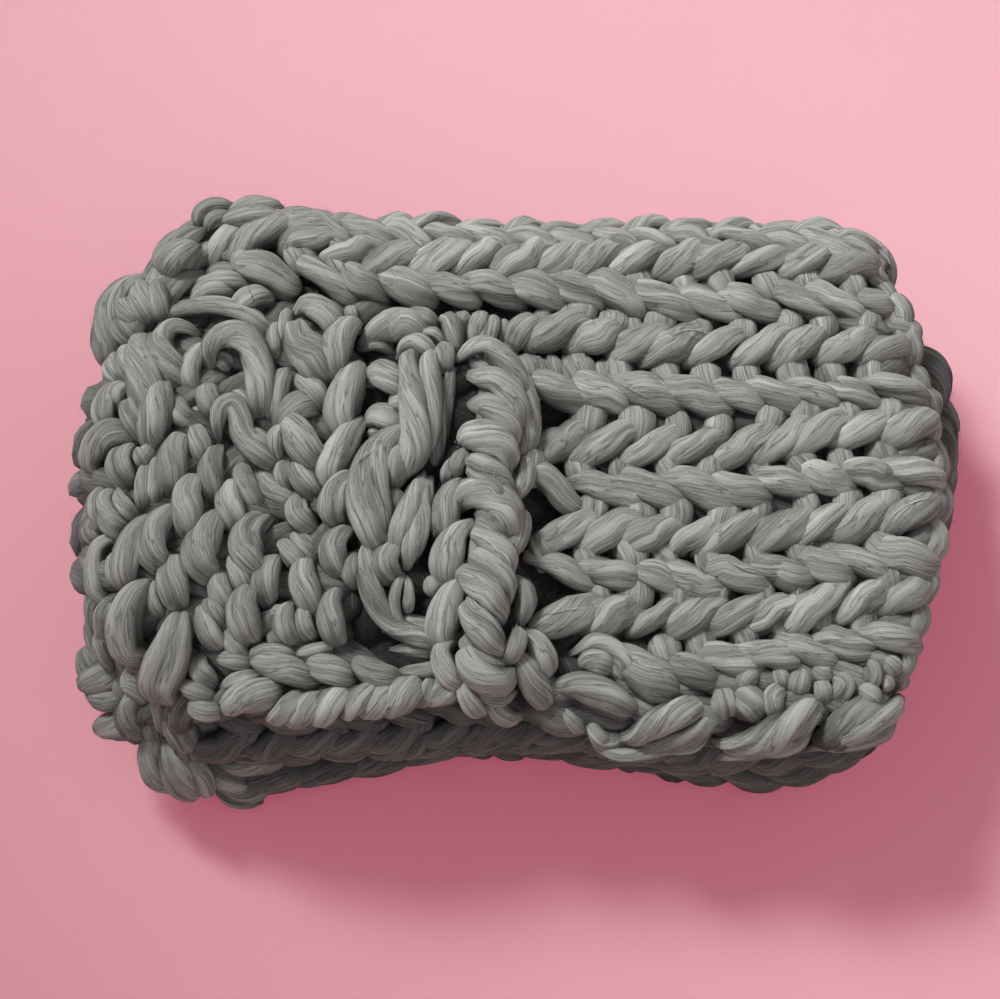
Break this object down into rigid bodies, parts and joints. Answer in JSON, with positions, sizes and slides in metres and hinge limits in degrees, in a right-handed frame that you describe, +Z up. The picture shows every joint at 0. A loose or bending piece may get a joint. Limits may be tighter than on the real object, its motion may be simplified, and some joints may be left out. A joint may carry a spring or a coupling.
{
  "type": "chunky knit blanket",
  "caption": "Thick hand-knitted wool blanket folded back and forth into a soft bundle, with two ridges across the top layer.",
  "frame": {"origin": "middle of the footprint, on the surface the folded blanket rests on", "axes": "+X along the folds and the knitted ribs, +Y from the free front edge to the back folds, +Z up through the layers"},
  "size_m": [0.4312, 0.2799, 0.1327],
  "materials": {
    "wool": "matte heathered grey roving, soft and slightly fuzzy"
  },
  "bodies": {
    "root": {"blanket": "wool"}
  },
  "joints": []
}
